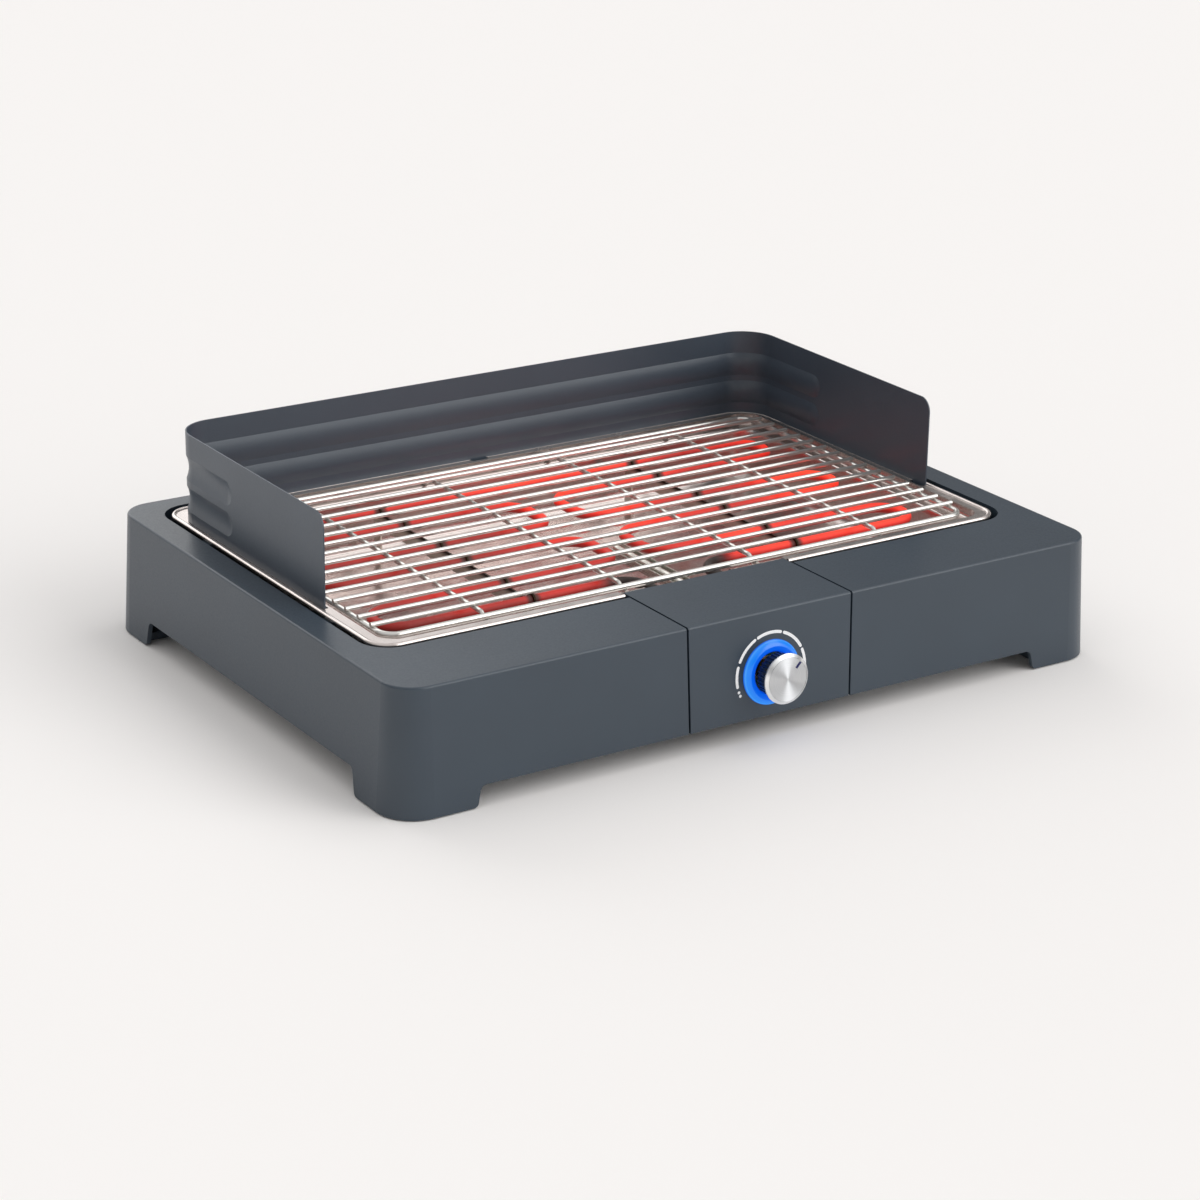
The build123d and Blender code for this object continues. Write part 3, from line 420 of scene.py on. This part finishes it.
# Heat-tinted stainless: straw bands about 25 mm wide, and brown-black scale where the tube lies on top
tinted_steel = new_material("heat_tinted_stainless")
place = add(tinted_steel, "TexCoord", {}).outputs["Object"]
bands = add(tinted_steel, "TexNoise", {"Vector": place, "Scale": per_mm(25), "Detail": 2.0})
straw = add(tinted_steel, "Mix", {
    mix_share: bands.outputs["Fac"], mix_first: srgb("#ebe7e1"), mix_second: srgb("#d6ccbe"),
}, data_type="RGBA")
strip_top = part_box("element_supports")[1].z
scale_start = strip_top - 0.009
scale_full = strip_top - 0.005
strip_height = add(tinted_steel, "SeparateXYZ", {"Vector": place}).outputs["Z"]
scale = add(tinted_steel, "MapRange", {
    "Value": strip_height, "From Min": scale_start, "From Max": scale_full,
}, interpolation_type="SMOOTHSTEP")
tone = add(tinted_steel, "Mix", {
    mix_share: scale.outputs["Result"], mix_first: straw.outputs[mix_result], mix_second: srgb("#33291f"),
}, data_type="RGBA")
shader = add(tinted_steel, "BsdfPrincipled", {
    "Base Color": tone.outputs[mix_result], "Metallic": 1.0, "Roughness": 0.4,
})
add(tinted_steel, "OutputMaterial", {"Surface": shader.outputs["BSDF"]})
dress(tinted_steel, "element_supports", "leg_bushes")

# Rolled stainless: light, satin, with rolling lines half a millimetre apart along the guard
rolled_steel = new_material("rolled_stainless")
place = add(rolled_steel, "TexCoord", {}).outputs["Object"]
stretched = add(rolled_steel, "Mapping", {"Vector": place, "Scale": (1.0, 0.03, 1.0)})
lines = add(rolled_steel, "TexNoise", {
    "Vector": stretched.outputs["Vector"], "Scale": per_mm(0.5), "Detail": 2.0,
})
tone = add(rolled_steel, "Mix", {
    mix_share: lines.outputs["Fac"], mix_first: srgb("#cfccc4"), mix_second: srgb("#e4e1da"),
}, data_type="RGBA")
dull = add(rolled_steel, "MapRange", {"Value": lines.outputs["Fac"], "To Min": 0.2, "To Max": 0.36})
shader = add(rolled_steel, "BsdfPrincipled", {
    "Base Color": tone.outputs[mix_result], "Metallic": 1.0, "Roughness": dull.outputs["Result"],
})
add(rolled_steel, "OutputMaterial", {"Surface": shader.outputs["BSDF"]})
dress(rolled_steel, "sensor_guard", "sensor_tube")


# Parts inside the control unit
# Thermostat with its nut and copper capillary, ceramic terminals, leads and the board of the light.
# The thermostat sits on its bracket, and the board behind the ring.

# Drawn copper: warm, with tarnish in patches of 6 mm
drawn_copper = new_material("drawn_copper")
place = add(drawn_copper, "TexCoord", {}).outputs["Object"]
tarnish = add(drawn_copper, "TexNoise", {"Vector": place, "Scale": per_mm(6), "Detail": 3.0})
tone = add(drawn_copper, "Mix", {
    mix_share: tarnish.outputs["Fac"], mix_first: srgb("#b87a55"), mix_second: srgb("#8a5238"),
}, data_type="RGBA")
shader = add(drawn_copper, "BsdfPrincipled", {
    "Base Color": tone.outputs[mix_result], "Metallic": 1.0, "Roughness": 0.32,
})
add(drawn_copper, "OutputMaterial", {"Surface": shader.outputs["BSDF"]})
dress(drawn_copper, "capillary_tube")

# Turned brass: yellow, with turning lines a third of a millimetre apart
turned_brass = new_material("turned_brass")
place = add(turned_brass, "TexCoord", {}).outputs["Object"]
straight_bands = 2 * math.pi / 20
lines = add(turned_brass, "TexWave", {
    "Vector": place, "Scale": per_mm(0.33) * straight_bands,
}, bands_direction="Y")
tone = add(turned_brass, "Mix", {
    mix_share: lines.outputs["Fac"], mix_first: srgb("#b89a58"), mix_second: srgb("#d0b878"),
}, data_type="RGBA")
shader = add(turned_brass, "BsdfPrincipled", {
    "Base Color": tone.outputs[mix_result], "Metallic": 1.0, "Roughness": 0.3,
})
add(turned_brass, "OutputMaterial", {"Surface": shader.outputs["BSDF"]})
dress(turned_brass, "thermostat_nut")

# Steatite ceramic: off-white, satin, with pressing pores of half a millimetre
steatite = new_material("pressed_steatite")
place = add(steatite, "TexCoord", {}).outputs["Object"]
pores = add(steatite, "TexNoise", {"Vector": place, "Scale": per_mm(0.5), "Detail": 2.0})
tone = add(steatite, "Mix", {
    mix_share: pores.outputs["Fac"], mix_first: srgb("#d8d2c4"), mix_second: srgb("#ece7dc"),
}, data_type="RGBA")
relief = add(steatite, "Bump", {"Height": pores.outputs["Fac"], "Strength": 0.4, "Distance": 0.0001})
shader = add(steatite, "BsdfPrincipled", {
    "Base Color": tone.outputs[mix_result], "Roughness": 0.42, "IOR": 1.6,
    "Normal": relief.outputs["Normal"],
})
add(steatite, "OutputMaterial", {"Surface": shader.outputs["BSDF"]})
dress(steatite, "terminal_insulators", "terminal_block")

# Phenolic resin: brown-black, with filler specks of 0.8 mm
phenolic = new_material("moulded_phenolic")
place = add(phenolic, "TexCoord", {}).outputs["Object"]
filler = add(phenolic, "TexNoise", {"Vector": place, "Scale": per_mm(0.8), "Detail": 5.0})
tone = add(phenolic, "Mix", {
    mix_share: filler.outputs["Fac"], mix_first: srgb("#251a14"), mix_second: srgb("#43342a"),
}, data_type="RGBA")
shader = add(phenolic, "BsdfPrincipled", {
    "Base Color": tone.outputs[mix_result], "Roughness": 0.38, "IOR": 1.6,
})
add(phenolic, "OutputMaterial", {"Surface": shader.outputs["BSDF"]})
dress(phenolic, "thermostat")

# Glass-fibre laminate: green lacquer over a weave of 0.7 mm
laminate = new_material("lacquered_laminate")
place = add(laminate, "TexCoord", {}).outputs["Object"]
weave = add(laminate, "TexChecker", {"Vector": place, "Scale": per_mm(0.7)})
tone = add(laminate, "Mix", {
    mix_share: weave.outputs["Fac"], mix_first: srgb("#1f5a34"), mix_second: srgb("#276a3e"),
}, data_type="RGBA")
shader = add(laminate, "BsdfPrincipled", {
    "Base Color": tone.outputs[mix_result], "Roughness": 0.3, "IOR": 1.55,
})
add(laminate, "OutputMaterial", {"Surface": shader.outputs["BSDF"]})
dress(laminate, "light_board")

# Braided glass-silk sleeve: pale, dull, with strands 0.6 mm wide, a light and a dark one in turn
glass_silk = new_material("braided_glass_silk")
place = add(glass_silk, "TexCoord", {}).outputs["Object"]
slanting_bands = 2 * math.pi / (10 * math.sqrt(3))
strands = add(glass_silk, "TexWave", {
    "Vector": place, "Scale": per_mm(2 * 0.6) * slanting_bands,
}, bands_direction="DIAGONAL")
tone = add(glass_silk, "Mix", {
    mix_share: strands.outputs["Fac"], mix_first: srgb("#a89c86"), mix_second: srgb("#cfc5b2"),
}, data_type="RGBA")
shader = add(glass_silk, "BsdfPrincipled", {"Base Color": tone.outputs[mix_result], "Roughness": 0.8})
add(glass_silk, "OutputMaterial", {"Surface": shader.outputs["BSDF"]})
dress(glass_silk, "lead_wires")


# Light ring
# A domed ring of clear blue plastic round the knob, lit from behind by the board's lamps.
# Its stem goes through the cover, and two pegs on the stem hold the board.
knob_joint = [joint for joint in frame["joints"] if joint["name"] == "knob_turn"][0]
knob_centre = Vector(knob_joint["pos_m"])
knob_axis = Vector(knob_joint["axis"]).normalized()
ring_bore = 0.013
ring_rim = 0.0201


def off_knob_axis(material, place):
    """Distance from the knob's axis."""
    arm = add(material, "VectorMath", {0: place, 1: knob_centre}, operation="SUBTRACT")
    lever = add(material, "VectorMath", {0: arm.outputs["Vector"], 1: knob_axis}, operation="CROSS_PRODUCT")
    return add(material, "VectorMath", {0: lever.outputs["Vector"]}, operation="LENGTH").outputs["Value"]


# Blue acrylic: glossy and glowing; darker at the bore as painted shade, lighter near the rim as a painted
# highlight
blue_acrylic = new_material("lit_blue_acrylic")
place = add(blue_acrylic, "TexCoord", {}).outputs["Object"]
outward = add(blue_acrylic, "MapRange", {
    "Value": off_knob_axis(blue_acrylic, place), "From Min": ring_bore, "From Max": ring_rim,
})
# Over the real glow, the ramp paints the knob's shade at the bore and a highlight on the band near the rim
light = add(blue_acrylic, "ValToRGB", {"Fac": outward.outputs["Result"]})
light.color_ramp.elements[0].color = srgb("#0438b8")
light.color_ramp.elements[1].color = srgb("#0a66d8")
for position, code in (
    (0.12, "#055ce8"), (0.46, "#0768ee"), (0.52, "#0b7af0"),
    (0.6, "#0d80f0"), (0.84, "#1488f0"), (0.93, "#3a9cf4"),
):
    light.color_ramp.elements.new(position).color = srgb(code)
shader = add(blue_acrylic, "BsdfPrincipled", {
    "Base Color": srgb("#06246e"), "Roughness": 0.16, "IOR": 1.49,
    "Emission Color": light.outputs["Color"], "Emission Strength": 0.9,
})
add(blue_acrylic, "OutputMaterial", {"Surface": shader.outputs["BSDF"]})
dress(blue_acrylic, "light_ring")


# Knob
# A fluted black plastic knob with a spun aluminium cap and an inlaid blue pointer, pushed on the
# thermostat's spindle.

# Glossy ABS: black, with a faint moulding haze of 4 mm
black_abs = new_material("moulded_black_abs")
place = add(black_abs, "TexCoord", {}).outputs["Object"]
haze = add(black_abs, "TexNoise", {"Vector": place, "Scale": per_mm(4), "Detail": 2.0})
tone = add(black_abs, "Mix", {
    mix_share: haze.outputs["Fac"], mix_first: srgb("#121318"), mix_second: srgb("#1e2026"),
}, data_type="RGBA")
dull = add(black_abs, "MapRange", {"Value": haze.outputs["Fac"], "To Min": 0.2, "To Max": 0.34})
shader = add(black_abs, "BsdfPrincipled", {
    "Base Color": tone.outputs[mix_result], "Roughness": dull.outputs["Result"], "IOR": 1.54,
})
add(black_abs, "OutputMaterial", {"Surface": shader.outputs["BSDF"]})
dress(black_abs, "knob_body")

# Spun aluminium: turning lines round the middle, 0.3 mm apart and drawn at 0.6 mm, which spread
# each light into a bright wedge. The bevel is cut with a diamond tool and is smoother; its lighter tone is a
# painted highlight.
bevel_start = 0.0136
bevel_edge = 0.00005
spun_aluminium = new_material("spun_aluminium")
place = add(spun_aluminium, "TexCoord", {}).outputs["Object"]
radius = off_knob_axis(spun_aluminium, place)
rings = add(spun_aluminium, "TexNoise", {
    "W": radius, "Scale": per_mm(0.6), "Detail": 2.0,
}, noise_dimensions="1D")
tone = add(spun_aluminium, "Mix", {
    mix_share: rings.outputs["Fac"], mix_first: srgb("#d6d9dc"), mix_second: srgb("#f0f1f2"),
}, data_type="RGBA")
dull = add(spun_aluminium, "MapRange", {"Value": rings.outputs["Fac"], "To Min": 0.44, "To Max": 0.56})
bevel = add(spun_aluminium, "MapRange", {
    "Value": radius, "From Min": bevel_start - bevel_edge, "From Max": bevel_start + bevel_edge,
}).outputs["Result"]
# Painted highlight: the bevel's tone is lighter than the spun face
tone = add(spun_aluminium, "Mix", {
    mix_share: bevel, mix_first: tone.outputs[mix_result], mix_second: srgb("#f6f7f8"),
}, data_type="RGBA")
rough = add(spun_aluminium, "MapRange", {"Value": bevel, "To Min": dull.outputs["Result"], "To Max": 0.28})
round_lines = add(spun_aluminium, "Tangent", {}, direction_type="RADIAL", axis="Y")
shader = add(spun_aluminium, "BsdfPrincipled", {
    "Base Color": tone.outputs[mix_result], "Metallic": 1.0, "Roughness": rough.outputs["Result"],
    "Anisotropic": 0.97, "Anisotropic Rotation": 0.25, "Tangent": round_lines.outputs["Tangent"],
})
add(spun_aluminium, "OutputMaterial", {"Surface": shader.outputs["BSDF"]})
dress(spun_aluminium, "knob_cap")

# Blue enamel fill: dark, satin, with a slight sag of 2 mm
blue_fill = new_material("blue_enamel_fill")
place = add(blue_fill, "TexCoord", {}).outputs["Object"]
sag = add(blue_fill, "TexNoise", {"Vector": place, "Scale": per_mm(2)})
tone = add(blue_fill, "Mix", {
    mix_share: sag.outputs["Fac"], mix_first: srgb("#060d4a"), mix_second: srgb("#0a1562"),
}, data_type="RGBA")
shader = add(blue_fill, "BsdfPrincipled", {
    "Base Color": tone.outputs[mix_result], "Roughness": 0.35, "IOR": 1.45,
})
add(blue_fill, "OutputMaterial", {"Surface": shader.outputs["BSDF"]})
dress(blue_fill, "knob_pointer")


# Dial marks
# White marks printed on the cover round the knob: two dots at the off end, then five dashes.
# The ink is a raised film of a few hundredths of a millimetre.
panel_right = Vector((1, 0, 0))
panel_out = -knob_axis
panel_up = panel_out.cross(panel_right)
dial_radius = 0.0246
stroke = 0.0019
ink_height = 0.00006
dots = (-116.0, -110.0)
dashes = ((-101.5, -73.6), (-65.0, -28.0), (-22.0, 16.4), (22.8, 60.6), (66.9, 104.0))


def on_dial(turn, reach, height):
    """Point on the panel at an angle clockwise from the top."""
    angle = math.radians(turn)
    outward = math.sin(angle) * panel_right + math.cos(angle) * panel_up
    return knob_centre + reach * outward + height * panel_out


def mark_outline(start, end):
    """Angles and radii round a printed mark with round ends, or round a dot where both ends agree."""
    dash_steps = 24 if end > start else 0
    cap_steps = 12
    half = stroke / 2
    cap = math.degrees(half / dial_radius)
    shares = [step / dash_steps for step in range(dash_steps)]
    swings = [math.pi * step / cap_steps for step in range(cap_steps)]
    outline = [(start + (end - start) * share, dial_radius + half) for share in shares]
    outline += [(end + cap * math.sin(swing), dial_radius + half * math.cos(swing)) for swing in swings]
    outline += [(end + (start - end) * share, dial_radius - half) for share in shares]
    outline += [(start - cap * math.sin(swing), dial_radius - half * math.cos(swing)) for swing in swings]
    return outline


ink = bmesh.new()
for start, end in dashes + tuple((dot, dot) for dot in dots):
    outline = mark_outline(start, end)
    low = [ink.verts.new(on_dial(turn, reach, 0.0)) for turn, reach in outline]
    high = [ink.verts.new(on_dial(turn, reach, ink_height)) for turn, reach in outline]
    ink.faces.new(high)
    ink.faces.new(low[::-1])
    for corner in range(len(outline)):
        following = (corner + 1) % len(outline)
        ink.faces.new((low[corner], low[following], high[following], high[corner]))
bmesh.ops.recalc_face_normals(ink, faces=ink.faces)
ink_mesh = bpy.data.meshes.new("dial_marks")
ink.to_mesh(ink_mesh)
ink.free()
dial_marks = bpy.data.objects.new("dial_marks", ink_mesh)
bpy.context.scene.collection.objects.link(dial_marks)

# Pad-printing ink: white, satin, with pinholes of 0.4 mm that let a little grey through
white_ink = new_material("white_printing_ink")
place = add(white_ink, "TexCoord", {}).outputs["Object"]
pinholes = add(white_ink, "TexNoise", {"Vector": place, "Scale": per_mm(0.4), "Detail": 1.0})
tone = add(white_ink, "Mix", {
    mix_share: pinholes.outputs["Fac"], mix_first: srgb("#fbfbfa"), mix_second: srgb("#efefef"),
}, data_type="RGBA")
shader = add(white_ink, "BsdfPrincipled", {
    "Base Color": tone.outputs[mix_result], "Roughness": 0.45, "IOR": 1.5,
})
add(white_ink, "OutputMaterial", {"Surface": shader.outputs["BSDF"]})
dial_marks.data.materials.append(white_ink)
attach(dial_marks, "control_unit")


# Grate
# A frame of thicker wire with bars and cranked cross wires welded to it, all chrome-plated.
# It lies loose on the tray's ledge.

# Chrome plate: bright and hard, a little warm from use, under a thin white film left by washing and
# with polishing haze in patches of 15 mm
chromed_wire = new_material("chromed_steel_wire")
place = add(chromed_wire, "TexCoord", {}).outputs["Object"]
haze = add(chromed_wire, "TexNoise", {"Vector": place, "Scale": per_mm(15), "Detail": 3.0})
tone = add(chromed_wire, "Mix", {
    mix_share: haze.outputs["Fac"], mix_first: srgb("#dfddd9"), mix_second: srgb("#cbc8c3"),
}, data_type="RGBA")
dull = add(chromed_wire, "MapRange", {"Value": haze.outputs["Fac"], "To Min": 0.08, "To Max": 0.18})
shader = add(chromed_wire, "BsdfPrincipled", {
    "Base Color": tone.outputs[mix_result], "Metallic": 0.7, "Roughness": dull.outputs["Result"],
})
add(chromed_wire, "OutputMaterial", {"Surface": shader.outputs["BSDF"]})
dress(chromed_wire, "grate_frame", "grate_bars", "grate_cross_wires")


# Wind shield
# Steel sheet bent round three sides, stiffened by two pressed beads, powder-coated in anthracite.
# Three tongues below stand in slots of the tray's flange.

# Powder coat: satin, with an orange peel of 1.6 mm
powder_coat = new_material("anthracite_powder_coat")
place = add(powder_coat, "TexCoord", {}).outputs["Object"]
peel = add(powder_coat, "TexNoise", {"Vector": place, "Scale": per_mm(1.6), "Detail": 2.0})
film = add(powder_coat, "TexNoise", {"Vector": place, "Scale": per_mm(60), "Detail": 2.0})
tone = add(powder_coat, "Mix", {
    mix_share: film.outputs["Fac"], mix_first: srgb("#39434e"), mix_second: srgb("#424d59"),
}, data_type="RGBA")
dull = add(powder_coat, "MapRange", {"Value": peel.outputs["Fac"], "To Min": 0.32, "To Max": 0.44})
relief = add(powder_coat, "Bump", {"Height": peel.outputs["Fac"], "Strength": 0.3, "Distance": 0.0001})
shader = add(powder_coat, "BsdfPrincipled", {
    "Base Color": tone.outputs[mix_result], "Roughness": dull.outputs["Result"], "IOR": 1.6,
    "Normal": relief.outputs["Normal"],
})
add(powder_coat, "OutputMaterial", {"Surface": shader.outputs["BSDF"]})
dress(powder_coat, "wind_shield")


# Floor and light
# A pale studio floor in a dim room with a pale ceiling and pale patches on the walls at the left,
# behind and at the front right. Softboxes above and at the front right draw out the edges.
background = srgb("#f8f5f3")
floor_size = 16.0
bpy.ops.mesh.primitive_plane_add(size=floor_size)
floor = bpy.context.object
floor.name = "studio_floor"
paper = new_material("studio_paper")
matt = add(paper, "BsdfDiffuse", {"Color": background})
add(paper, "OutputMaterial", {"Surface": matt.outputs["BSDF"]})
floor.data.materials.append(paper)

world = bpy.data.worlds.new("studio")
world.use_nodes = True
world.node_tree.nodes.clear()
outlook = add(world, "TexCoord", {}).outputs["Generated"]
height = add(world, "SeparateXYZ", {"Vector": outlook}).outputs["Z"]
ceiling_start = 0.4
ceiling_full = 0.7
room = add(world, "MapRange", {
    "Value": height, "From Min": ceiling_start, "From Max": ceiling_full, "To Min": 0.15, "To Max": 0.77,
}).outputs["Result"]

# Each wall's direction, the cosines at which its pale patch is full and at which it ends, and its level
left_wall = ((-0.9, -0.2, 0.35), 0.95, 0.3, 0.5)
rear_wall = ((0.0, 0.93, 0.37), 0.97, 0.8, 2.0)
front_wall = ((0.55, -0.78, 0.32), 0.96, 0.76, 1.9)
for wall, narrow, wide, level in (left_wall, rear_wall, front_wall):
    toward = add(world, "VectorMath", {0: outlook, 1: Vector(wall).normalized()}, operation="DOT_PRODUCT")
    pale = add(world, "MapRange", {
        "Value": toward.outputs["Value"], "From Min": wide, "From Max": narrow, "To Max": level,
    }, interpolation_type="SMOOTHSTEP")
    room = add(world, "Math", {0: room, 1: pale.outputs["Result"]}, operation="MAXIMUM").outputs["Value"]

# The camera, clear pieces and metal that mirrors the horizon see the plain backdrop
backdrop_full = 0.06
backdrop_end = 0.2
rays = add(world, "LightPath", {})
low_down = add(world, "MapRange", {
    "Value": height, "From Min": backdrop_full, "From Max": backdrop_end, "To Min": 1.0, "To Max": 0.0,
})
in_metal = add(world, "Math", {
    0: rays.outputs["Is Glossy Ray"], 1: low_down.outputs["Result"],
}, operation="MULTIPLY")
seen = add(world, "Math", {
    0: rays.outputs["Is Camera Ray"], 1: rays.outputs["Is Transmission Ray"],
}, operation="MAXIMUM")
seen = add(world, "Math", {0: seen.outputs["Value"], 1: in_metal.outputs["Value"]}, operation="MAXIMUM")
studio = add(world, "Background", {"Color": srgb("#ffffff"), "Strength": room})
backdrop = add(world, "Background", {"Color": background, "Strength": 1.0})
sky = add(world, "MixShader", {
    0: seen.outputs["Value"], 1: studio.outputs["Background"], 2: backdrop.outputs["Background"],
})
add(world, "OutputWorld", {"Surface": sky.outputs["Shader"]})
bpy.context.scene.world = world

for name, shining, spread, energy in (
    ("overhead_softbox", (-0.5, 0.1, -0.86), 36, 0.3),
    ("front_softbox", (-0.5, 0.65, -0.57), 40, 0.5),
):
    lamp = bpy.data.lights.new(name, "SUN")
    lamp.angle = math.radians(spread)
    lamp.energy = energy
    softbox = bpy.data.objects.new(name, lamp)
    softbox.rotation_euler = Vector(shining).to_track_quat("-Z", "Y").to_euler()
    bpy.context.scene.collection.objects.link(softbox)


# Camera
# A long lens from the front left and above, level but for a slight tilt.
# Its place and angles were fitted to the straight edges and corners in the photo.
eye = (-1.03511, -1.57144, 0.73628)
yaw = math.radians(33.213)
pitch = math.radians(20.609)
tilt = math.radians(0.818)
lens = bpy.data.cameras.new("camera")
lens.sensor_width = 36.0
lens.lens = 95.13
camera = bpy.data.objects.new("camera", lens)
aim = Matrix.Rotation(-yaw, 4, "Z") @ Matrix.Rotation(math.pi / 2 - pitch, 4, "X")
aim = aim @ Matrix.Rotation(tilt, 4, "Z")
camera.matrix_world = Matrix.Translation(eye) @ aim
bpy.context.scene.collection.objects.link(camera)
bpy.context.scene.camera = camera
bpy.context.scene.view_settings.view_transform = "Standard"
